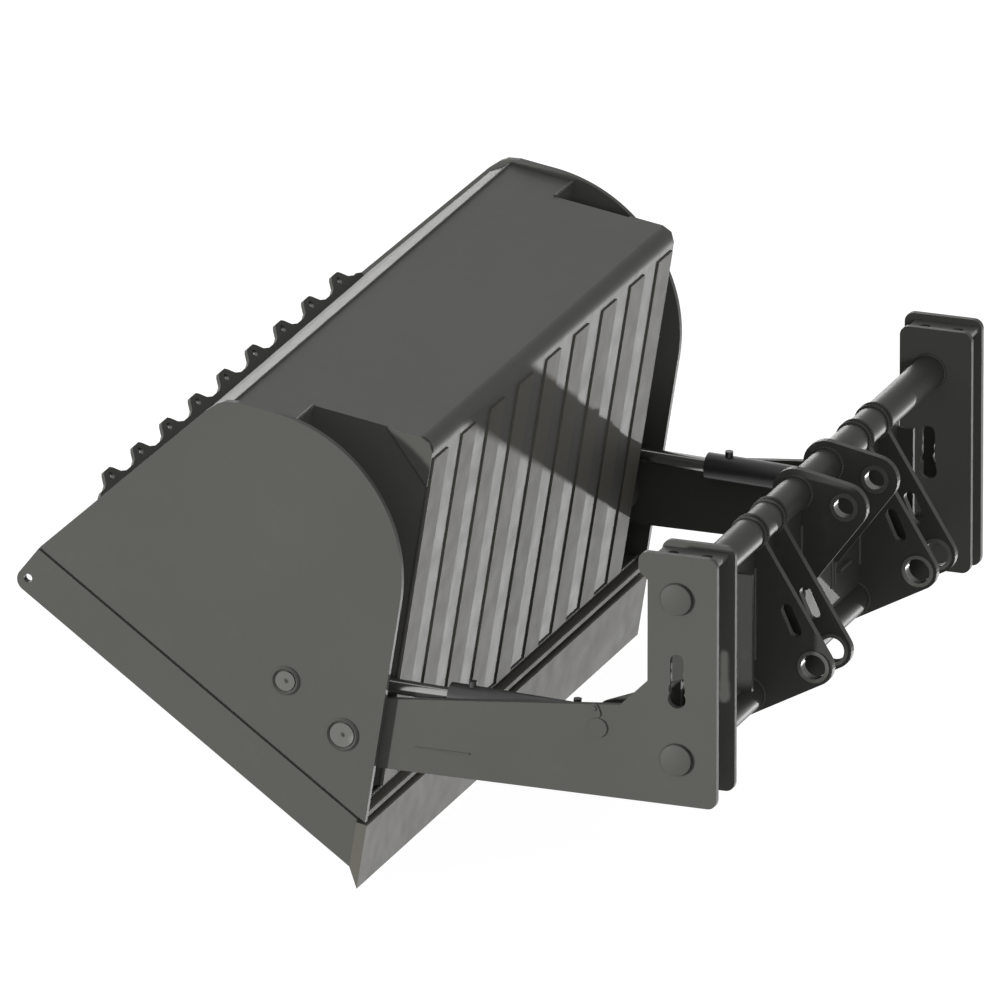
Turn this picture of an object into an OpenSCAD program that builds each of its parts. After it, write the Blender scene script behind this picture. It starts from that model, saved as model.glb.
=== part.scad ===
// High dump bucket: a loader bucket that hinges near its cutting edge on a two-armed carrier frame.
// X runs across the machine, Y forward and Z up. The origin lies on the axis of the loader's lower pins,
// midway between the arms. The bucket stands tipped, as it empties, and swings back about +X.

/* [Bucket] */
// Width over the two side plates
bucket_w = 2500; // [2400:10:2700]
// Thickness of the side plates
side_t = 20; // [16:1:22]
// Thickness of the shell sheets
sheet_t = 12; // [8:1:14]
// Distance from the tip of the cutting edge to the back wall
floor_len = 1440; // [1420:5:1450]
// Height of the back wall above the floor line
back_h = 650; // [620:5:670]
// Distance of the upper lip behind the cutting edge
lip_back = 680; // [640:5:720]
// Height of the upper lip above the floor line
lip_h = 1256; // [1200:2:1300]
// Radius of the lower rear corner of the side plates
heel_r = 500; // [420:10:520]
// Outer radius of the bend between floor and back wall
bend_r = 45; // [30:1:60]
// Angle by which the bucket is tipped from its level position
tip_angle = 81; // [78:1:84]

/* [Edges] */
// Thickness of the cutting edge
edge_t = 35; // [28:1:40]
// Length of the cutting edge from its tip
edge_len = 215; // [190:1:220]
// Length of the ground bevel at its tip
edge_bevel = 66; // [50:1:75]
// Width of the side cutters
cutter_w = 150; // [130:5:165]
// Height by which the side cutters stand proud of the side plates
cutter_proud = 4; // [2:1:8]
// Number of wear strips under the floor
strip_count = 9; // [7:1:10]
// Width of a wear strip
strip_w = 125; // [90:5:140]
// Thickness of a wear strip
strip_t = 6; // [4:1:10]
// Number of teeth on the lip rail
tooth_count = 9; // [7:1:10]
// Distance between the teeth
tooth_pitch = 248; // [220:2:250]
// Height of the teeth above the top sheet
tooth_h = 64; // [58:1:80]

/* [Arm recesses] */
// Clear width of each recess that takes an arm and its cylinder
recess_w = 164; // [160:1:175]
// Height of the recess roof above the floor line
recess_h = 440; // [425:5:470]
// Distance from the cutting edge to the front of the recess
recess_front = 262; // [256:1:275]

/* [Pivots] */
// Distance of the bucket pivot behind the cutting edge
pivot_back = 485; // [475:1:495]
// Height of the bucket pivot above the floor line
pivot_up = 125; // [120:1:130]
// Radius of the bucket pivot pins
pivot_pin_r = 35; // [28:1:40]
// Distance of the rod pin behind the cutting edge
rod_pin_back = 607; // [600:1:612]
// Height of the rod pin above the floor line
rod_pin_up = 333; // [325:1:340]
// Radius of the cylinder pins
ram_pin_r = 22; // [18:1:25]
// Radial running clearance of a pin
pin_clear = 0.1; // [0.05:0.01:0.1]

/* [Tipping cylinders] */
// Outer radius of the barrel
barrel_r = 42; // [38:1:43]
// Wall of the barrel
barrel_wall = 8; // [6:1:10]
// Distance from the barrel pin to the gland face
barrel_len = 506; // [480:2:520]
// Radius of the rod
rod_r = 24; // [20:1:26]
// Width of the barrel eye and the rod eye
eye_w = 50; // [44:1:56]
// Radius of the eyes
eye_r = 46; // [42:1:50]

/* [Carrier frame] */
// Gap between a side plate and its arm
arm_gap = 16; // [15:1:18]
// Thickness of the arm plates
arm_t = 20; // [16:1:22]
// Thickness of the inner uprights and pin cheeks
inner_t = 18; // [15:1:20]
// Distance of the bucket pivot in front of the loader pins
pivot_y = 1297; // [1280:1:1310]
// Height of the bucket pivot against the loader pins
pivot_z = -156; // [-165:1:-150]
// Distance of the barrel pin in front of the loader pins
barrel_pin_y = 472; // [466:1:478]
// Height of the barrel pin against the loader pins
barrel_pin_z = -42; // [-48:1:-36]
// Height of the top of the uprights
upright_top = 548; // [530:2:570]
// Level of the underside of the arms
arm_bottom = -265; // [-275:1:-260]
// Radius of the cross tubes
tube_r = 52; // [45:1:56]
// Wall of the cross tubes
tube_wall = 10; // [8:1:14]
// Distance of the cross tubes in front of the loader pins
tube_y = 214; // [205:1:220]
// Height of the upper tube
tube_top_z = 407; // [395:1:420]
// Height of the lower tube
tube_low_z = -115; // [-125:1:-110]

/* [Loader lugs] */
// Thickness of the lugs
lug_t = 25; // [20:1:30]
// Distance from the middle to the inner lug of each pair
lug_in_x = 390; // [360:5:410]
// Distance from the middle to the outer lug of each pair
lug_out_x = 560; // [540:5:580]
// Radius of the loader pin bores
lug_bore_r = 40; // [35:1:42]
// Distance from the middle to each upper ear
ear_x = 140; // [120:5:160]
// Distance of the upper bore in front of the lower ones
ear_y = 53; // [45:1:60]
// Height of the upper bore
ear_z = 377; // [365:1:385]
// Radius of the upper bore
ear_bore_r = 32; // [28:1:36]

/* [Hidden] */
$fn = 64;
half_w = bucket_w / 2;
steel = [0.34, 0.34, 0.32];
dark = [0.2, 0.2, 0.19];
bright = [0.5, 0.5, 0.48];
fit = 0.2;
side_in = half_w - side_t;
recess_x = side_in - recess_w;
// Places across the left recess, from the outer face of the side plate inwards
arm_x = side_in - arm_gap;
arm_in_x = arm_x - arm_t;
ram_x = arm_in_x - 46;
cheek_x = ram_x - barrel_r - 4;
// Line of the bucket's mouth, from above the cutting edge to the upper lip
mouth_start = [edge_bevel, edge_t];
mouth_end = [lip_back, lip_h];
mouth_dir = (mouth_end - mouth_start) / norm(mouth_end - mouth_start);
mouth_in = [mouth_dir[1], -mouth_dir[0]];
cutter_foot = mouth_start[0] + cutter_w / mouth_in[0];
// Top edge of the side plates
side_base = 8;
side_back = floor_len + 18;
ridge = [side_back - 8, back_h + 36];
top_front = mouth_end + mouth_in * cutter_w - mouth_dir * 4;
top_dir = (top_front - ridge) / norm(top_front - ridge);
top_out = [-top_dir[1], top_dir[0]] * -1;
top_inset = 12;
corner_r = 60;
boss_r = 45;
hub_r = 72;
ram_from = [barrel_pin_y, barrel_pin_z];
ram_to = [pivot_y - sin(tip_angle) * (pivot_up - rod_pin_up) - cos(tip_angle) * (rod_pin_back - pivot_back),
    pivot_z + sin(tip_angle) * (rod_pin_back - pivot_back) + cos(tip_angle) * (rod_pin_up - pivot_up)];
ram_len = norm(ram_to - ram_from);
ram_angle = atan2(ram_to[1] - ram_from[1], ram_to[0] - ram_from[0]);
bore_r = barrel_r - barrel_wall;
gland_len = 46;
piston_len = 50;

// Puts a left-hand piece on either side
module on_side(side) {
    if (side < 0) children();
    else mirror([1, 0, 0]) children();
}

// Extrudes a Y-Z outline across X, between two distances left of the middle
module across(outer, inner) {
    translate([-outer, 0, 0]) rotate([90, 0, 90]) linear_extrude(outer - inner) children();
}

// Turns bucket coordinates, measured back and up from the edge tip, into the tipped bucket's place
module in_bucket() {
    translate([0, pivot_y, pivot_z]) rotate([-tip_angle, 0, 0]) children();
}

module bucket_outline() {
    translate([pivot_back, -pivot_up]) mirror([1, 0]) children();
}

module bucket_plate(outer, inner) {
    in_bucket() across(outer, inner) bucket_outline() children();
}

// Rounds the convex corners of an outline
module rounded(r) {
    offset(r) offset(-r) children();
}

// Strip of sheet along a line of points
module strip(points, t) {
    for (i = [0 : len(points) - 2]) {
        run = points[i + 1] - points[i];
        translate(points[i]) rotate(atan2(run[1], run[0])) square([norm(run), t]);
    }
}

module side_outline() {
    difference() {
        union() {
            intersection() {
                translate([side_back - heel_r, side_base + heel_r]) circle(heel_r, $fn = 128);
                translate([side_back - heel_r, side_base]) square(heel_r);
            }
            polygon([[cutter_foot - (edge_t - side_base) * mouth_dir[0] / mouth_dir[1], side_base],
                [side_back - heel_r, side_base], [side_back, side_base + heel_r], [side_back, ridge[1] - corner_r],
                [ridge[0], ridge[1] - corner_r * 0.3], ridge + top_dir * corner_r * 0.2 - top_out * 6,
                ridge + top_dir * corner_r, top_front]);
        }
        translate([0, -heel_r]) square([side_back * 2, heel_r + side_base]);
    }
}

module pivot_hole(at, r) {
    translate([at[0], at[1]]) circle(r);
}

pivot = [pivot_back, pivot_up];
rod_pin = [rod_pin_back, rod_pin_up];

module side_plate(side) {
    color(steel) on_side(side) bucket_plate(half_w, side_in) difference() {
        side_outline();
        pivot_hole(pivot, pivot_pin_r + fit);
        pivot_hole(rod_pin, ram_pin_r + fit);
    }
}

// Floor and back wall, one bent sheet, narrow between the recesses and full width above and in front
module shell_sheet() {
    inner_r = bend_r - sheet_t;
    color(steel) union() {
        bucket_plate(recess_x, -recess_x) union() {
            translate([recess_front, edge_t]) square([floor_len - bend_r - recess_front, sheet_t]);
            translate([floor_len - sheet_t, edge_t + bend_r]) square([sheet_t, recess_h - edge_t - bend_r]);
            translate([floor_len - bend_r, edge_t + bend_r]) intersection() {
                difference() {
                    circle(bend_r);
                    circle(inner_r);
                }
                translate([0, -bend_r]) square(bend_r);
            }
        }
        bucket_plate(side_in, -side_in) {
            translate([edge_len - 90, edge_t]) square([recess_front - edge_len + 90, sheet_t]);
            translate([floor_len - sheet_t, recess_h]) square([sheet_t, back_h - recess_h]);
        }
    }
}

// Sloping top sheet with a narrow folded ridge at its rear
top_a = ridge - top_out * top_inset + top_dir * 50;
top_b = top_front - top_out * top_inset;
module top_sheet() {
    color(steel) bucket_plate(side_in, -side_in) polygon([[floor_len, back_h], top_a, top_b,
        top_b - top_out * sheet_t, top_a - top_out * sheet_t + top_dir * 3, [floor_len - sheet_t, back_h]]);
}

module recess_wall(side) {
    color(steel) on_side(side) bucket_plate(recess_x, recess_x - sheet_t) difference() {
        polygon([[recess_front, edge_t + sheet_t], [floor_len - bend_r, edge_t + sheet_t],
            [floor_len - sheet_t, edge_t + bend_r], [floor_len - sheet_t, recess_h + sheet_t],
            [recess_front + 70, recess_h + sheet_t]]);
        pivot_hole(pivot, pivot_pin_r + fit);
    }
}

// Front wall and roof of the recess
module recess_roof(side) {
    front = [recess_front, edge_t + sheet_t];
    bend = [recess_front + 70, recess_h];
    color(dark) on_side(side) bucket_plate(side_in, recess_x) polygon([front, bend,
        [floor_len - sheet_t, recess_h], [floor_len - sheet_t, recess_h + sheet_t],
        [bend[0] - sheet_t, recess_h + sheet_t], [front[0] - sheet_t, front[1]]]);
}

module cutting_edge() {
    color(steel) bucket_plate(half_w + cutter_proud, -half_w - cutter_proud) polygon([[0, 0], [edge_bevel, edge_t],
        [edge_len, edge_t], [edge_len, 4], [edge_len - 4, 0]]);
}

module heel_bar() {
    color(steel) bucket_plate(side_in, -side_in) polygon([[edge_len + 15, edge_t], [edge_len + 15, 12],
        [edge_len + 19, 8], [edge_len + 36, 8], [edge_len + 40, 12], [edge_len + 40, edge_t]]);
}

// Reinforcing plate along the mouth, with a rounded upper corner, a lifting hole and a weld groove
module side_cutter(side) {
    eye = mouth_end + mouth_in * 42 - mouth_dir * 34;
    color(steel) on_side(side) difference() {
        bucket_plate(half_w + cutter_proud, side_in) difference() {
            hull() {
                polygon([mouth_start, [cutter_foot, edge_t], top_front]);
                translate(mouth_end + mouth_in * 40 - mouth_dir * 40) circle(40, $fn = 32);
            }
            translate(eye) circle(14);
        }
        bucket_plate(half_w + cutter_proud + 1, half_w - 5) translate(mouth_start + mouth_in * (cutter_w - 7))
            rotate(atan2(mouth_dir[1], mouth_dir[0])) translate([-200, -9]) square([lip_h * 2, 9]);
    }
}

// Flat bar that stiffens the free end of the top sheet
lip_bar_w = 110;
lip_bar_t = 20;
module lip_bar() {
    start = top_b - top_out * sheet_t;
    color(steel) bucket_plate(side_in - 6, -side_in + 6) polygon([start, start - top_dir * lip_bar_w,
        start - top_dir * (lip_bar_w - 6) - top_out * lip_bar_t, start - top_dir * 10 - top_out * lip_bar_t]);
}

// Toothed rail that stands on the top sheet, with a bolt hole in each tooth
rail_back = 600;
rail_low = 22;
module lip_rail() {
    foot = ridge - top_out * (top_inset - fit / 2) + top_dir * rail_back;
    color(steel) in_bucket() translate([0, pivot_back - foot[0], foot[1] - pivot_up])
        rotate([atan2(top_out[0], top_out[1]), 0, 0]) rotate([90, 0, 0])
        linear_extrude(sheet_t, center = true) rail_outline();
}

// One tooth, as half widths and heights from its middle
tooth_side = [[95, rail_low], [64, rail_low + 10], [38, tooth_h - 8], [24, tooth_h]];
module rail_outline() {
    span = (tooth_count - 1) * tooth_pitch;
    half = span / 2 + tooth_pitch * 0.6;
    teeth = [for (i = [0 : tooth_count - 1]) for (k = [0 : 7])
        (k < 4 ? [-tooth_side[k][0], tooth_side[k][1]] : tooth_side[7 - k]) + [i * tooth_pitch - span / 2, 0]];
    difference() {
        polygon(concat([[-half, 0], [-half, rail_low * 0.6], [-half + 30, rail_low]], teeth,
            [[half - 30, rail_low], [half, rail_low * 0.6], [half, 0]]));
        for (i = [0 : tooth_count - 1]) translate([i * tooth_pitch - span / 2, tooth_h * 0.6]) circle(12);
    }
}

module wear_strips() {
    room = 2 * recess_x - strip_w - 10;
    color(steel) for (i = [0 : strip_count - 1]) {
        x = room / 2 - i * room / (strip_count - 1);
        bucket_plate(x + strip_w / 2, x - strip_w / 2)
            translate([recess_front + 8, edge_t - strip_t]) square([floor_len - recess_front - 75, strip_t]);
    }
}

module corner_gusset(side) {
    leg = 110;
    color(bright) on_side(side) bucket_plate(recess_x + sheet_t, recess_x) polygon([
        [floor_len - bend_r * 0.3, edge_t + bend_r * 0.3], [floor_len, edge_t + bend_r], [floor_len, edge_t + leg + bend_r],
        [floor_len - leg - bend_r, edge_t], [floor_len - bend_r, edge_t]]);
}

// Pin that is fixed in the bucket and turns in the arm's hub, with a flanged head
module pivot_pin(side) {
    color(bright) on_side(side) in_bucket() {
        rotate([0, 90, 0]) translate([0, 0, -half_w - 6]) cylinder(h = 6, r = pivot_pin_r + 4);
        rotate([0, 90, 0]) translate([0, 0, -half_w]) cylinder(h = half_w - recess_x + sheet_t, r = pivot_pin_r);
    }
}

// Short pin stubs and bosses on both sides of the rod eye
module rod_pin_bosses(side) {
    at = [0, pivot_back - rod_pin_back, rod_pin_up - pivot_up];
    gap = eye_w / 2 + 2;
    color(bright) on_side(side) in_bucket() translate(at) rotate([0, 90, 0]) union() {
        translate([0, 0, -half_w - 6]) cylinder(h = 6, r = ram_pin_r + 10);
        translate([0, 0, -half_w]) cylinder(h = side_t, r = ram_pin_r);
        translate([0, 0, -side_in]) cylinder(h = side_in - ram_x - gap, r = boss_r - 7);
        translate([0, 0, -ram_x + gap]) cylinder(h = ram_x - gap - recess_x, r = boss_r - 7);
    }
}

module grease_nipples() {
    color(bright) for (side = [-1, 1]) on_side(side) in_bucket() {
        for (at = [[0, 0], [pivot_back - rod_pin_back, rod_pin_up - pivot_up]])
            translate([-half_w - 6, at[0], at[1]]) rotate([0, -90, 0]) union() {
                cylinder(h = 4, r = 8, $fn = 6);
                translate([0, 0, 4]) cylinder(h = 5, r = 4);
            }
    }
}

upright_rear = tube_y - 130;
upright_front = tube_y + 96;
arm_tip_r = 107;
arm_root_z = barrel_pin_z + 82;

// L-shaped outline of an arm and its upright
module arm_outline() {
    fillet = 90;
    union() {
        translate([pivot_y, pivot_z]) circle(arm_tip_r, $fn = 96);
        rounded(30, $fn = 32) polygon([[upright_rear, arm_bottom], [pivot_y, pivot_z - arm_tip_r],
            [pivot_y, pivot_z + arm_tip_r], [upright_front + fillet, arm_root_z],
            [upright_front, arm_root_z + fillet], [upright_front, upright_top - 90],
            [upright_front + 30, upright_top - 62], [upright_front + 30, upright_top], [upright_rear, upright_top]]);
        difference() {
            translate([upright_front - 1, arm_root_z - 12]) square([fillet + 1, fillet + 12]);
            translate([upright_front + fillet, arm_root_z + fillet]) circle(fillet);
        }
    }
}

module keyhole() {
    hull() {
        translate([tube_y, 80]) circle(22, $fn = 32);
        translate([tube_y, 205]) circle(22, $fn = 32);
    }
    translate([tube_y, 80]) circle(29);
    translate([tube_y, 112]) circle(27);
}

module tube_holes() {
    for (z = [tube_top_z, tube_low_z]) translate([tube_y, z]) circle(tube_r + fit);
}

module arm_plate(side) {
    bore = pivot_pin_r + pin_clear;
    color(steel) on_side(side) difference() {
        union() {
            across(arm_x, arm_in_x) difference() {
                arm_outline();
                tube_holes();
                keyhole();
                translate([barrel_pin_y, barrel_pin_z]) circle(ram_pin_r + fit);
            }
            translate([-side_in + 6, pivot_y, pivot_z]) rotate([0, 90, 0]) cylinder(h = recess_w - 12, r = hub_r);
        }
        translate([-half_w, pivot_y, pivot_z]) rotate([0, 90, 0]) cylinder(h = recess_w * 2, r = bore);
    }
}

module inner_upright(side) {
    color(steel) on_side(side) across(cheek_x - inner_t, cheek_x - 2 * inner_t) difference() {
        rounded(30, $fn = 32) polygon([[upright_rear - 12, arm_bottom + 18], [upright_front, arm_bottom + 18],
            [upright_front, upright_top], [upright_rear - 12, upright_top]]);
        tube_holes();
        keyhole();
    }
}

module top_cap(side) {
    color(steel) on_side(side) difference() {
        translate([-arm_in_x, upright_rear + 8, upright_top - 34])
            cube([arm_in_x - cheek_x + inner_t, upright_front - upright_rear - 16, 14]);
        for (y = [tube_y - 70, tube_y + 40]) translate([-(arm_in_x + cheek_x - inner_t) / 2, y, upright_top - 50])
            cylinder(h = 60, r = 18);
    }
}

// Plate that carries the inner end of the barrel pin, welded to the inner upright
module pin_cheek(side) {
    color(steel) on_side(side) across(cheek_x, cheek_x - inner_t) difference() {
        hull() {
            translate([barrel_pin_y, barrel_pin_z]) circle(48, $fn = 32);
            translate([upright_front - 68, tube_low_z + tube_r + 12]) square([4, 150]);
        }
        translate([barrel_pin_y, barrel_pin_z]) circle(ram_pin_r + fit);
    }
}

module barrel_pin(side) {
    color(bright) on_side(side) translate([0, barrel_pin_y, barrel_pin_z]) rotate([0, 90, 0]) union() {
        translate([0, 0, -arm_x - 5]) cylinder(h = 5, r = ram_pin_r + 9);
        translate([0, 0, -arm_x]) cylinder(h = arm_x - cheek_x + inner_t, r = ram_pin_r);
    }
}

// Teardrop keeper plates that lock the barrel pins to the arms
module pin_keepers() {
    color(bright) for (side = [-1, 1]) on_side(side) {
        across(arm_x + 5, arm_x) difference() {
            hull() {
                translate([barrel_pin_y + 12, barrel_pin_z + 62]) circle(15, $fn = 32);
                translate([barrel_pin_y + 2, barrel_pin_z + 46]) circle(12, $fn = 32);
            }
            translate([barrel_pin_y, barrel_pin_z]) circle(ram_pin_r + 9 + fit);
        }
        translate([-arm_x - 9, barrel_pin_y + 12, barrel_pin_z + 62]) rotate([0, 90, 0])
            cylinder(h = 4, r = 9, $fn = 6);
    }
}

tube_half = arm_x + 6;
module cross_tube(z) {
    translate([-tube_half, tube_y, z]) rotate([0, 90, 0]) difference() {
        cylinder(h = 2 * tube_half, r = tube_r);
        translate([0, 0, -1]) cylinder(h = 2 * tube_half + 2, r = tube_r - tube_wall);
    }
}

module upper_tube() {
    color(steel) cross_tube(tube_top_z);
}

module lower_tube() {
    color(steel) cross_tube(tube_low_z);
}

module tube_plugs() {
    color(steel) for (z = [tube_top_z, tube_low_z]) for (side = [-1, 1]) on_side(side)
        translate([-tube_half + 2, tube_y, z]) rotate([0, 90, 0]) cylinder(h = 12, r = tube_r - tube_wall - fit);
}

// Folded panel between the two tubes, with a window behind the upper ears
panel_half = lug_out_x + 180;
panel_y = tube_y - 12;
panel_t = 16;
flange_w = 120;
flange_end = 40;
module centre_panel() {
    low = tube_low_z + tube_r * 0.6;
    high = tube_top_z - tube_r * 0.6;
    color(dark) difference() {
        union() {
            translate([-panel_half, panel_y - panel_t / 2, low]) cube([2 * panel_half, panel_t, high - low]);
            for (side = [-1, 1]) on_side(side) translate([-panel_half, panel_y - flange_w / 2, low + flange_end])
                cube([panel_t, flange_w, high - low - 2 * flange_end]);
        }
        for (z = [tube_top_z, tube_low_z]) translate([-panel_half - 1, tube_y, z]) rotate([0, 90, 0])
            cylinder(h = 2 * panel_half + 2, r = tube_r + fit);
    }
}

// Tabs of the stiffeners, which show through the panel as short bright bars
tab = [100, 14, 12];
tab_gap = 37.5;
tab_z = [40, 200];
module panel_tabs() {
    color(bright) for (side = [-1, 1]) on_side(side)
        for (x = [lug_out_x + lug_t / 2 + tab_gap + tab[0], ear_x + (lug_t + tab_gap) / 2 + tab[0]]) for (z = tab_z)
            translate([-x, panel_y - panel_t / 2 - tab[1], z]) cube(tab);
}

// Ear for the loader's tilt link, wrapped on the upper tube and braced down to the panel
module upper_ear(side) {
    color(steel) on_side(side) across(ear_x + lug_t / 2, ear_x - lug_t / 2) difference() {
        hull() {
            translate([ear_y, ear_z]) circle(74, $fn = 32);
            translate([tube_y, tube_top_z]) circle(tube_r + 24, $fn = 32);
            translate([panel_y - 28, 90]) square([20, 40]);
        }
        translate([tube_y, tube_top_z]) circle(tube_r + fit);
        translate([panel_y - 8, tube_low_z]) square([200, tube_top_z - tube_low_z - tube_r * 0.6]);
        translate([ear_y, ear_z]) circle(ear_bore_r + 14 + fit);
    }
}

module ear_bushes() {
    color(bright) for (side = [-1, 1]) on_side(side)
        translate([-ear_x - lug_t / 2 - 5, ear_y, ear_z]) rotate([0, 90, 0]) difference() {
            cylinder(h = lug_t + 10, r = ear_bore_r + 14);
            translate([0, 0, -1]) cylinder(h = lug_t + 12, r = ear_bore_r);
        }
}

// Triangular lug that runs from the upper tube down to the loader pin and back to the lower tube
module lug_outline() {
    difference() {
        hull() {
            circle(62, $fn = 32);
            translate([tube_y - tube_r * 0.7, tube_top_z - tube_r * 0.6]) circle(16, $fn = 32);
            translate([panel_y - 24, tube_top_z - tube_r - 60]) square([16, 30]);
            translate([tube_y - 10, tube_low_z - tube_r - 14]) square([30, 10]);
        }
        for (z = [tube_top_z, tube_low_z]) translate([tube_y, z]) circle(tube_r + fit);
        translate([panel_y - 8, tube_low_z]) square([200, tube_top_z - tube_low_z]);
        circle(lug_bore_r + 12 + fit);
        translate([60, 110]) rotate(-24) hull() {
            circle(20, $fn = 32);
            translate([0, 70]) circle(20, $fn = 32);
        }
    }
}

module lugs(side) {
    color(steel) on_side(side) for (x = [lug_in_x, lug_out_x]) across(x + lug_t / 2, x - lug_t / 2) lug_outline();
}

module lug_bushes() {
    color(bright) for (side = [-1, 1]) on_side(side) for (x = [lug_in_x, lug_out_x])
        translate([-x - lug_t / 2 - 5, 0, 0]) rotate([0, 90, 0]) difference() {
            cylinder(h = lug_t + 10, r = lug_bore_r + 12);
            translate([0, 0, -1]) cylinder(h = lug_t + 12, r = lug_bore_r);
        }
}

// Puts a cylinder piece on the line from the barrel pin to the rod pin, with +X of the child along it
module on_ram() {
    translate([-ram_x, barrel_pin_y, barrel_pin_z]) rotate([ram_angle, 0, 0]) rotate([0, 0, 90]) children();
}

module eye(r) {
    rotate([90, 0, 0]) cylinder(h = eye_w, r = r, center = true);
}

module barrel(side) {
    base = 62;
    color(steel) on_side(side) on_ram() difference() {
        union() {
            eye(eye_r);
            translate([eye_r * 0.6, 0, 0]) rotate([0, 90, 0]) cylinder(h = base - eye_r * 0.6 + 1, r = eye_w / 2 - 1);
            translate([base, 0, 0]) rotate([0, 90, 0]) cylinder(h = barrel_len - base, r = barrel_r);
            for (x = [base + 30, barrel_len - 70]) translate([x, 0, barrel_r - 4]) cylinder(h = 20, r = 13);
        }
        rotate([90, 0, 0]) cylinder(h = eye_w + 2, r = ram_pin_r + pin_clear, center = true);
        translate([base + 16, 0, 0]) rotate([0, 90, 0]) cylinder(h = barrel_len - base - 16 - gland_len, r = bore_r);
        translate([base + 16, 0, 0]) rotate([0, 90, 0]) cylinder(h = barrel_len, r = rod_r + pin_clear);
    }
}

module rod(side) {
    piston = barrel_len - gland_len - piston_len - 20;
    color(bright) on_side(side) on_ram() difference() {
        union() {
            translate([ram_len, 0, 0]) eye(eye_r);
            translate([piston, 0, 0]) rotate([0, 90, 0]) cylinder(h = ram_len - piston - eye_r * 0.6, r = rod_r);
            translate([piston, 0, 0]) rotate([0, 90, 0]) cylinder(h = piston_len, r = bore_r - 0.3);
        }
        translate([ram_len, 0, 0]) rotate([90, 0, 0]) cylinder(h = eye_w + 2, r = ram_pin_r + 1, center = true);
    }
}

side_plate(-1);  // left_side_plate
side_plate(1);  // right_side_plate
shell_sheet();
top_sheet();
recess_wall(-1);  // left_recess_wall
recess_wall(1);  // right_recess_wall
recess_roof(-1);  // left_recess_roof
recess_roof(1);  // right_recess_roof
cutting_edge();
heel_bar();
side_cutter(-1);  // left_side_cutter
side_cutter(1);  // right_side_cutter
lip_bar();
lip_rail();
wear_strips();
corner_gusset(-1);  // left_corner_gusset
corner_gusset(1);  // right_corner_gusset
pivot_pin(-1);  // left_pivot_pin
pivot_pin(1);  // right_pivot_pin
rod_pin_bosses(-1);  // left_rod_pin_bosses
rod_pin_bosses(1);  // right_rod_pin_bosses
grease_nipples();
arm_plate(-1);  // left_arm_plate
arm_plate(1);  // right_arm_plate
inner_upright(-1);  // left_inner_upright
inner_upright(1);  // right_inner_upright
top_cap(-1);  // left_top_cap
top_cap(1);  // right_top_cap
pin_cheek(-1);  // left_pin_cheek
pin_cheek(1);  // right_pin_cheek
barrel_pin(-1);  // left_barrel_pin
barrel_pin(1);  // right_barrel_pin
pin_keepers();
upper_tube();
lower_tube();
tube_plugs();
centre_panel();
panel_tabs();
upper_ear(-1);  // left_upper_ear
upper_ear(1);  // right_upper_ear
ear_bushes();
lugs(-1);  // left_lugs
lugs(1);  // right_lugs
lug_bushes();
barrel(-1);  // left_barrel
barrel(1);  // right_barrel
rod(-1);  // left_rod
rod(1);  // right_rod
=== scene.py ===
import math

import bmesh
import bpy
from mathutils import Matrix, Vector


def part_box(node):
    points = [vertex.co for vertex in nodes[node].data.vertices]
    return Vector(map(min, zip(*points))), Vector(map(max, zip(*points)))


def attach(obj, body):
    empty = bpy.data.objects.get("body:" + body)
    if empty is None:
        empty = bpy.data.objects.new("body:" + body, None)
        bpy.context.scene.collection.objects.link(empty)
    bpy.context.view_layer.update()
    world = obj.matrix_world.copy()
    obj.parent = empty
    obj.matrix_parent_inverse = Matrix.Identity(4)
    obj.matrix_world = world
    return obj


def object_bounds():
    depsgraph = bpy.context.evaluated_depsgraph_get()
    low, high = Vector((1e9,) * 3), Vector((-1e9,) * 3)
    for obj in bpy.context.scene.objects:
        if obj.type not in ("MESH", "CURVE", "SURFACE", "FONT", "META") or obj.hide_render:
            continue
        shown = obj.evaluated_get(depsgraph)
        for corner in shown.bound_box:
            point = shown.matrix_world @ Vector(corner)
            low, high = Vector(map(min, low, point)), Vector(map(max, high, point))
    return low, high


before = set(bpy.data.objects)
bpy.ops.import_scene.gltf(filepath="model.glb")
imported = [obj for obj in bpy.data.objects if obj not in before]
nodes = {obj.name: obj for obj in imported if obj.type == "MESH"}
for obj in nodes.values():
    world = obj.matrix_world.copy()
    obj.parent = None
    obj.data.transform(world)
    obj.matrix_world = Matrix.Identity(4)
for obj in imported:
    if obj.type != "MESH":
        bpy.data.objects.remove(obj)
cad_low, cad_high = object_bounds()

# Camera: it stands behind and to the left of the attachment, far enough off that the view is almost
# parallel, with the near corner of the cutting edge on its place in a picture of 1000 by 1000.
view_azimuth = math.radians(-69.55)
view_elevation = math.radians(19.27)
metres_per_pixel = 2.5 / 811
picture_middle = 500
edge_corner_pixel = (357, 888.5)
edge_corner = Vector((-1.25, 1.2494, -0.6546))
lens = 1200
toward = Vector((math.sin(view_azimuth) * math.cos(view_elevation),
                 -math.cos(view_azimuth) * math.cos(view_elevation), math.sin(view_elevation)))
right = Vector((math.cos(view_azimuth), math.sin(view_azimuth), 0))
upward = toward.cross(right)
corner_shift = (right * (picture_middle - edge_corner_pixel[0])
                + upward * (edge_corner_pixel[1] - picture_middle))
aim = edge_corner + corner_shift * metres_per_pixel
camera = bpy.data.objects.new("camera", bpy.data.cameras.new("camera"))
camera.data.lens = lens
distance = picture_middle * metres_per_pixel * lens / (camera.data.sensor_width / 2)
camera.location = aim + toward * distance
camera.rotation_euler = toward.to_track_quat("Z", "Y").to_euler()
camera.data.clip_start = distance * 0.5
camera.data.clip_end = distance * 2
bpy.context.scene.collection.objects.link(camera)
bpy.context.scene.camera = camera
bpy.context.scene.view_settings.view_transform = "Standard"


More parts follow.
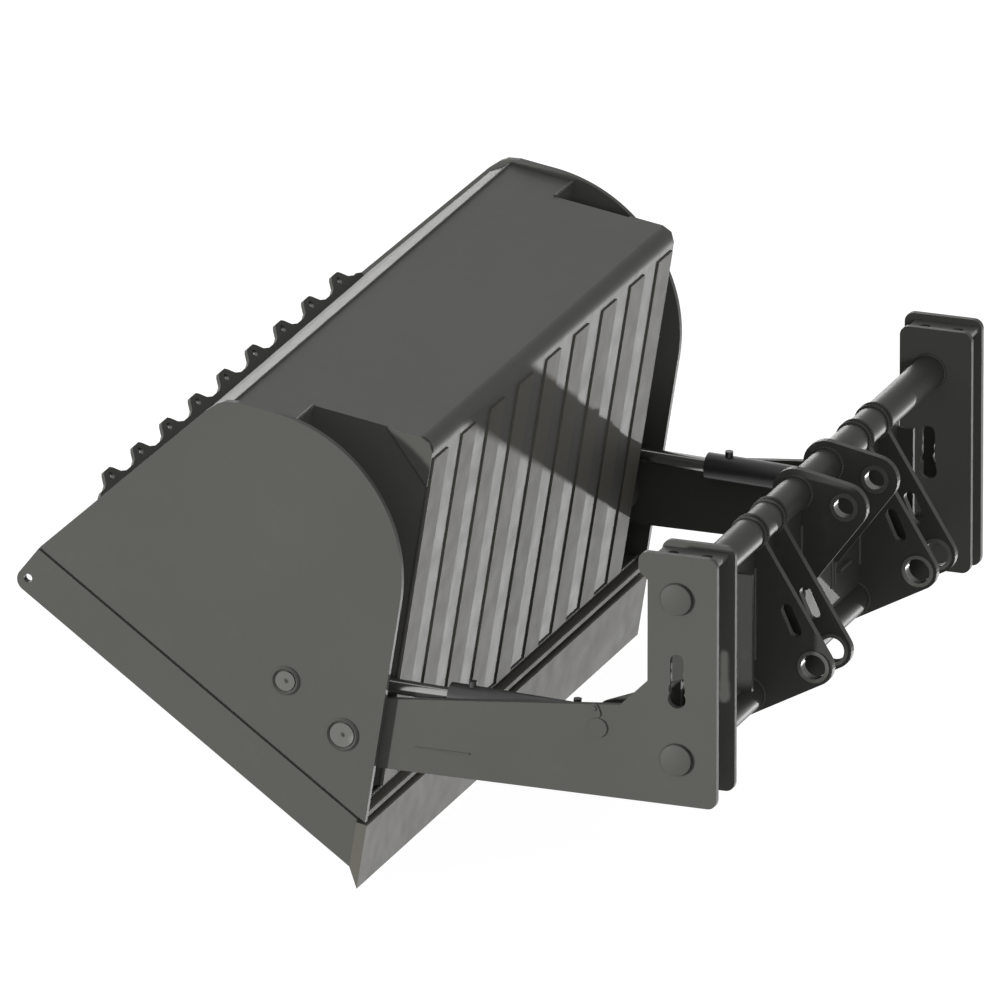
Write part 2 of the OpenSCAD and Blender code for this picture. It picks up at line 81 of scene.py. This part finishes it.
# Studio: a lamp in front on the left lights the side plates, and a low one on the far right throws
# the far arm's shadow across the ribbed floor. It stands below the studio floor, so that floor casts
# no shadow itself. Two weak lamps fill the rear and the far side. Camera and mirror rays see white,
# and everything else sees a dim room.
def studio_lamp(name, direction, strength, softness):
    lamp = bpy.data.objects.new(name, bpy.data.lights.new(name, "SUN"))
    lamp.data.energy = strength
    lamp.data.angle = math.radians(softness)
    lamp.rotation_euler = Vector(direction).to_track_quat("Z", "Y").to_euler()
    bpy.context.scene.collection.objects.link(lamp)


studio_lamp("side_lamp", (-0.74, 0.66, 0.08), 3.1, 4)
studio_lamp("rear_lamp", (-0.75, -0.6, 0.2), 0.7, 10)
studio_lamp("low_lamp", (0.85, -0.30, -0.43), 0.9, 1)
studio_lamp("far_lamp", (0.8, 0.55, 0.25), 1.2, 20)


def seen_white(tree):
    """A value of 1 for camera, mirror and see-through rays, and 0 for the rest."""
    rays = tree.nodes.new("ShaderNodeLightPath")
    total = rays.outputs["Is Camera Ray"]
    for other in ("Is Glossy Ray", "Is Transmission Ray"):
        either = tree.nodes.new("ShaderNodeMath")
        either.operation = "MAXIMUM"
        tree.links.new(total, either.inputs[0])
        tree.links.new(rays.outputs[other], either.inputs[1])
        total = either.outputs[0]
    return total


room = bpy.data.worlds.new("room")
room.use_nodes = True
bpy.context.scene.world = room
room_light = room.node_tree.nodes["Background"]
room_level = room.node_tree.nodes.new("ShaderNodeMapRange")
room_level.inputs["To Min"].default_value = 0.34
room_level.inputs["To Max"].default_value = 1
room_light.inputs["Color"].default_value = (1, 1, 1, 1)
room.node_tree.links.new(seen_white(room.node_tree), room_level.inputs["Value"])
room.node_tree.links.new(room_level.outputs["Result"], room_light.inputs["Strength"])

floor_shape = bmesh.new()
bmesh.ops.create_grid(floor_shape, x_segments=1, y_segments=1, size=60)
bmesh.ops.translate(floor_shape, verts=floor_shape.verts, vec=(0, 0, cad_low.z - 0.002))
floor_mesh = bpy.data.meshes.new("studio_floor")
floor_shape.to_mesh(floor_mesh)
studio_floor = bpy.data.objects.new("studio_floor", floor_mesh)
bpy.context.scene.collection.objects.link(studio_floor)
floor_paint = bpy.data.materials.new("studio_floor")
floor_paint.use_nodes = True
floor_tree = floor_paint.node_tree
floor_surface = floor_tree.nodes["Principled BSDF"]
floor_surface.inputs["Base Color"].default_value = (0.3, 0.3, 0.3, 1)
floor_surface.inputs["Roughness"].default_value = 1
floor_surface.inputs["Specular IOR Level"].default_value = 0
floor_surface.inputs["Emission Color"].default_value = (1, 1, 1, 1)
floor_glow = floor_tree.nodes.new("ShaderNodeMath")
floor_glow.operation = "MULTIPLY"
floor_glow.inputs[1].default_value = 0.93
floor_tree.links.new(seen_white(floor_tree), floor_glow.inputs[0])
floor_tree.links.new(floor_glow.outputs[0], floor_surface.inputs["Emission Strength"])
floor_mesh.materials.append(floor_paint)
studio_floor.visible_shadow = False


# Painted steel: the whole attachment is shot-blasted plate under one coat of dark grey-olive paint.
# The coat has soft clouds of tone, orange peel, and rubbed spots where it has been handled.
def paint_grain_group():
    group = bpy.data.node_groups.new("paint_grain", "ShaderNodeTree")
    for name, kind in (("Colour", "NodeSocketColor"), ("Rubbed", "NodeSocketColor"),
                       ("Roughness", "NodeSocketFloat"), ("Wear", "NodeSocketFloat"),
                       ("Peel", "NodeSocketFloat")):
        group.interface.new_socket(name, in_out="INPUT", socket_type=kind)
    for name, kind in (("Colour", "NodeSocketColor"), ("Roughness", "NodeSocketFloat"),
                       ("Normal", "NodeSocketVector")):
        group.interface.new_socket(name, in_out="OUTPUT", socket_type=kind)
    make, link = group.nodes.new, group.links.new
    given, out = make("NodeGroupInput"), make("NodeGroupOutput")
    place = make("ShaderNodeTexCoord")
    noises = {}
    for name, scale, detail in (("clouds", 1.7, 3), ("spots", 14, 6), ("peel", 220, 2)):
        noises[name] = make("ShaderNodeTexNoise")
        noises[name].inputs["Scale"].default_value = scale
        noises[name].inputs["Detail"].default_value = detail
        link(place.outputs["Object"], noises[name].inputs["Vector"])
    tone = make("ShaderNodeMapRange")
    tone.inputs["To Min"].default_value = 0.88
    tone.inputs["To Max"].default_value = 1.12
    link(noises["clouds"].outputs["Fac"], tone.inputs["Value"])
    toned = make("ShaderNodeVectorMath")
    toned.operation = "SCALE"
    link(given.outputs["Colour"], toned.inputs[0])
    link(tone.outputs["Result"], toned.inputs["Scale"])
    rub = make("ShaderNodeMapRange")
    rub.inputs["From Min"].default_value = 0.6
    rub.inputs["From Max"].default_value = 0.78
    link(noises["spots"].outputs["Fac"], rub.inputs["Value"])
    rubbed = make("ShaderNodeMath")
    rubbed.operation = "MULTIPLY"
    link(rub.outputs["Result"], rubbed.inputs[0])
    link(given.outputs["Wear"], rubbed.inputs[1])
    mixed = make("ShaderNodeMix")
    mixed.data_type = "RGBA"
    link(rubbed.outputs[0], mixed.inputs["Factor"])
    link(toned.outputs["Vector"], mixed.inputs["A"])
    link(given.outputs["Rubbed"], mixed.inputs["B"])
    link(mixed.outputs["Result"], out.inputs["Colour"])
    smoothed = make("ShaderNodeMath")
    smoothed.operation = "MULTIPLY_ADD"
    smoothed.inputs[1].default_value = 0.1
    link(noises["spots"].outputs["Fac"], smoothed.inputs[0])
    link(given.outputs["Roughness"], smoothed.inputs[2])
    link(smoothed.outputs[0], out.inputs["Roughness"])
    bump = make("ShaderNodeBump")
    bump.inputs["Distance"].default_value = 0.001
    link(given.outputs["Peel"], bump.inputs["Strength"])
    link(noises["peel"].outputs["Fac"], bump.inputs["Height"])
    link(bump.outputs["Normal"], out.inputs["Normal"])
    return group


paint_grain = paint_grain_group()


def coated_steel(name, colour, rubbed, roughness, wear, peel, metallic=0, specular=0.3):
    material = bpy.data.materials.new(name)
    material.use_nodes = True
    tree = material.node_tree
    surface = tree.nodes["Principled BSDF"]
    grain = tree.nodes.new("ShaderNodeGroup")
    grain.node_tree = paint_grain
    grain.inputs["Colour"].default_value = (*colour, 1)
    grain.inputs["Rubbed"].default_value = (*rubbed, 1)
    grain.inputs["Roughness"].default_value = roughness
    grain.inputs["Wear"].default_value = wear
    grain.inputs["Peel"].default_value = peel
    surface.inputs["Metallic"].default_value = metallic
    surface.inputs["Specular IOR Level"].default_value = specular
    tree.links.new(grain.outputs["Colour"], surface.inputs["Base Color"])
    tree.links.new(grain.outputs["Roughness"], surface.inputs["Roughness"])
    tree.links.new(grain.outputs["Normal"], surface.inputs["Normal"])
    return material


def coat(material, *names):
    for name in names:
        nodes[name].data.materials.clear()
        nodes[name].data.materials.append(material)


def both(name):
    return "left_" + name, "right_" + name


plate_paint = coated_steel("plate_paint", (0.084, 0.084, 0.077), (0.11, 0.11, 0.1), 0.5, 0.2, 0.12,
                           specular=0.15)
coat(plate_paint, *both("side_plate"), *both("side_cutter"), *both("arm_plate"), *both("inner_upright"),
     *both("top_cap"), "shell_sheet", "top_sheet", "lip_bar", "lip_rail", *both("recess_wall"),
     *both("recess_roof"), *both("corner_gusset"), *both("pin_cheek"), "pin_keepers", *both("barrel_pin"))

# Carrier tubes, panel, ears and lugs: heavy sections welded into one frame between the arms, under
# a coat a shade darker than that of the plates.
frame_paint = coated_steel("frame_paint", (0.042, 0.042, 0.039), (0.07, 0.07, 0.06), 0.45, 0.3, 0.1,
                           specular=0.2)
coat(frame_paint, "upper_tube", "lower_tube", "tube_plugs", "centre_panel", *both("upper_ear"),
     *both("lugs"))

# Wearing parts: the cutting edge, heel bar and wear strips are hardened plate under a thinner,
# warmer coat with a dry sheen, which ground and gravel have begun to rub. Its colour is also painted
# lighter than the plates: painted light for the stronger light that falls on the ribbed floor.
# Base colour partly painted light: lighter than the plate paint to stand for the extra light on the ribbed
# floor.
wear_paint_with_painted_light = coated_steel("wear_paint_with_painted_light", (0.12, 0.116, 0.1), (0.15, 0.145, 0.13), 0.55, 0.35, 0.1,
                          specular=0.1)
coat(wear_paint_with_painted_light, "cutting_edge", "heel_bar", "wear_strips")

# Pins, bushes and bosses: machined steel, pressed or welded in, with a thin mist of paint. The barrel
# pins and their keepers were painted over with the arms.
pin_steel = coated_steel("pin_steel", (0.13, 0.13, 0.12), (0.3, 0.3, 0.28), 0.3, 0.5, 0.05, metallic=0.5)
coat(pin_steel, *both("pivot_pin"), *both("rod_pin_bosses"), "grease_nipples", "ear_bushes",
     "lug_bushes", "panel_tabs")

# Cylinders: near-black barrels pinned between the arms and the inner uprights, with hard-chromed
# rods that reach into the recesses of the bucket.
barrel_paint = coated_steel("barrel_paint", (0.03, 0.03, 0.03), (0.06, 0.06, 0.06), 0.25, 0.3, 0.06,
                            specular=0.5)
coat(barrel_paint, *both("barrel"))
rod_chrome = coated_steel("rod_chrome", (0.34, 0.34, 0.33), (0.42, 0.42, 0.4), 0.12, 0.3, 0.02, metallic=0.9)
coat(rod_chrome, *both("rod"))


# Welds round the cross tubes: a rippled fillet bead on each face where a tube passes a plate, laid
# as overlapping runs. The beads are one piece on the carrier.
bead = 0.006
ripple = 0.18
ring_lift = 0.002
arm_inner_face, arm_outer_face = 1.194, 1.214
lug_thickness = 0.025


def finish_piece(shape, name, body, material):
    bmesh.ops.remove_doubles(shape, verts=shape.verts, dist=0.00001)
    bmesh.ops.recalc_face_normals(shape, faces=shape.faces)
    mesh = bpy.data.meshes.new(name)
    shape.to_mesh(mesh)
    shape.free()
    mesh.materials.append(material)
    for face in mesh.polygons:
        face.use_smooth = True
    mesh.set_sharp_from_angle(angle=math.radians(35))
    piece = bpy.data.objects.new(name, mesh)
    bpy.context.scene.collection.objects.link(piece)
    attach(piece, body)


def bead_ring(shape, centre, radius, steps=72):
    """A rippled ring of weld round an axis along X."""
    earlier = set(shape.verts)
    section = bmesh.ops.create_circle(shape, segments=8, radius=bead)["verts"]
    bmesh.ops.rotate(shape, verts=section, cent=(0, 0, 0), matrix=Matrix.Rotation(math.pi / 2, 3, "X"))
    bmesh.ops.translate(shape, verts=section, vec=(0, 0, radius))
    edges = list({edge for vert in section for edge in vert.link_edges})
    bmesh.ops.spin(shape, geom=edges, cent=(0, 0, 0), axis=(1, 0, 0), angle=math.tau, steps=steps,
                   use_merge=True)
    for vert in shape.verts:
        if vert not in earlier:
            vert.co.x *= 1 + ripple * math.cos(math.atan2(vert.co.y, vert.co.z) * steps / 2)
            vert.co += Vector(centre)


tube_welds = bmesh.new()
for tube in ("upper_tube", "lower_tube"):
    low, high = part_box(tube)
    radius = (high.z - low.z) / 2
    faces = []
    for plate in both("inner_upright") + both("upper_ear"):
        faces += [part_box(plate)[0].x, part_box(plate)[1].x]
    for lug in both("lugs"):
        lug_low, lug_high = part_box(lug)
        faces += [lug_low.x, lug_high.x, lug_low.x + lug_thickness, lug_high.x - lug_thickness]
    faces += [-arm_inner_face, arm_inner_face]
    for x in faces:
        on_ear = abs(x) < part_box("left_lugs")[0].x / -2
        if not (on_ear and tube == "lower_tube"):
            bead_ring(tube_welds, (x, (low.y + high.y) / 2, (low.z + high.z) / 2), radius + ring_lift)
finish_piece(tube_welds, "tube_welds", "carrier", frame_paint)


# Tube ends: each tube is closed by a turned cap with a rounded rim, welded into the outer face of
# the arm plate, where it shows as a round.
tube_caps = bmesh.new()
cap_radius, cap_height, cap_rim = 0.05, 0.006, 0.0025
for tube in ("upper_tube", "lower_tube"):
    low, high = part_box(tube)
    for end, side in ((low.x, -1), (high.x, 1)):
        middle = Vector((end, (low.y + high.y) / 2, (low.z + high.z) / 2))
        outline = [tube_caps.verts.new(middle + Vector((side * out, 0, radius))) for out, radius in (
            (0, 0), (0, cap_radius), (cap_height - cap_rim, cap_radius),
            (cap_height - cap_rim * 0.3, cap_radius - cap_rim * 0.3), (cap_height, cap_radius - cap_rim),
            (cap_height, 0))]
        edges = [tube_caps.edges.new(pair) for pair in zip(outline, outline[1:])]
        bmesh.ops.spin(tube_caps, geom=edges, cent=middle, axis=(1, 0, 0), angle=math.tau, steps=64,
                       use_merge=True)
finish_piece(tube_caps, "tube_caps", "carrier", plate_paint)


# Straight welds: long rippled fillets where plates meet. Each runs between two points, and bucket
# places are given as a distance behind the edge tip and a height above the floor line.
tip_angle = math.radians(81)
pivot = Vector((0, 1.297, -0.156))
pivot_back, pivot_up = 0.485, 0.125


def in_bucket(x, back, up):
    local_y, local_z = pivot_back - back, up - pivot_up
    return pivot + Vector((x, math.cos(tip_angle) * local_y + math.sin(tip_angle) * local_z,
                           -math.sin(tip_angle) * local_y + math.cos(tip_angle) * local_z))


def bead_line(shape, start, end, size=bead):
    run = Vector(end) - Vector(start)
    steps = max(4, int(run.length / 0.016))
    made = bmesh.ops.create_circle(shape, segments=6, radius=size)
    turn = run.to_track_quat("Z", "Y").to_matrix()
    ring = made["verts"]
    bmesh.ops.rotate(shape, verts=ring, cent=(0, 0, 0), matrix=turn)
    bmesh.ops.translate(shape, verts=ring, vec=start)
    edges = list({edge for vert in ring for edge in vert.link_edges})
    bmesh.ops.contextual_create(shape, geom=edges)
    for step in range(steps):
        made = bmesh.ops.extrude_edge_only(shape, edges=edges)["geom"]
        ring = [part for part in made if isinstance(part, bmesh.types.BMVert)]
        edges = [part for part in made if isinstance(part, bmesh.types.BMEdge)
                 and all(vert in ring for vert in part.verts)]
        bmesh.ops.translate(shape, verts=ring, vec=run / steps)
        swell = 1.2 if step % 2 else 1 / 1.2
        middle = sum((vert.co for vert in ring), Vector()) / len(ring)
        bmesh.ops.scale(shape, verts=ring, vec=(swell, swell, swell), space=Matrix.Translation(-middle))
    bmesh.ops.contextual_create(shape, geom=edges)


bucket_welds = bmesh.new()
inside_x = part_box("right_side_plate")[0].x
recess_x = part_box("right_recess_wall")[1].x
back_inner, back_outer, back_top = 1.428, 1.44, 0.65
recess_front, recess_under, recess_top = 0.33, 0.44, 0.452
heel_rear, strips_rear, floor_under = 0.27, 1.28, 0.035
for side in (-1, 1):
    plate, recess = side * inside_x, side * recess_x
    for start, end in (
            ((plate, back_inner, recess_top), (plate, back_inner, back_top)),
            ((plate, recess_front, recess_top), (plate, back_inner, recess_top)),
            ((plate, back_outer, recess_under + 0.005), (plate, back_outer, back_top)),
            ((recess, back_outer, recess_under), (plate, back_outer, recess_under)),
            ((recess, heel_rear, floor_under), (recess, strips_rear, floor_under))):
        bead_line(bucket_welds, in_bucket(*start), in_bucket(*end))
# The welds across the bucket: behind the heel bar, at the front edge of the floor, and on the ridge.
for back, up, size in ((0.272, 0.034, bead), (0.126, 0.047, bead), (1.441, 0.651, 0.005)):
    bead_line(bucket_welds, in_bucket(-inside_x, back, up), in_bucket(inside_x, back, up), size)
finish_piece(bucket_welds, "bucket_welds", "bucket", plate_paint)

# Carrier welds: vertical fillets beside the lugs and ears on the panel, and the short raised bead
# low on the outer face of each arm.
carrier_welds = bmesh.new()
panel_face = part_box("panel_tabs")[1].y
for plates in (both("upper_ear"), both("lugs")):
    for plate in plates:
        low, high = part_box(plate)
        for x in (low.x, high.x):
            bead_line(carrier_welds, (x, panel_face, 0.0), (x, panel_face, 0.3))
for side in (-1, 1):
    bead_line(carrier_welds, (side * arm_outer_face, 0.892, -0.182),
              (side * arm_outer_face, 1.073, -0.182), 0.004)
finish_piece(carrier_welds, "carrier_welds", "carrier", plate_paint)


# Pin collars: turned steel rings welded to the outer faces of the side plates, one round the head
# of each pivot pin and each rod pin.
pin_collars = bmesh.new()
collar_wall = 0.006
side_face = 1.25
for back, up, radius in ((0.485, 0.125, 0.048), (0.607, 0.333, 0.041)):
    for side in (-1, 1):
        middle = in_bucket(side * (side_face + collar_wall * 0.5), back, up)
        profile = bmesh.ops.create_circle(pin_collars, segments=4, radius=collar_wall)["verts"]
        bmesh.ops.rotate(pin_collars, verts=profile, cent=(0, 0, 0),
                         matrix=Matrix.Rotation(math.pi / 2, 3, "X"))
        bmesh.ops.translate(pin_collars, verts=profile, vec=middle + Vector((0, 0, radius)))
        edges = list({edge for vert in profile for edge in vert.link_edges})
        bmesh.ops.spin(pin_collars, geom=edges, cent=middle, axis=(1, 0, 0), angle=math.tau, steps=64,
                       use_merge=True)
finish_piece(pin_collars, "pin_collars", "bucket", plate_paint)
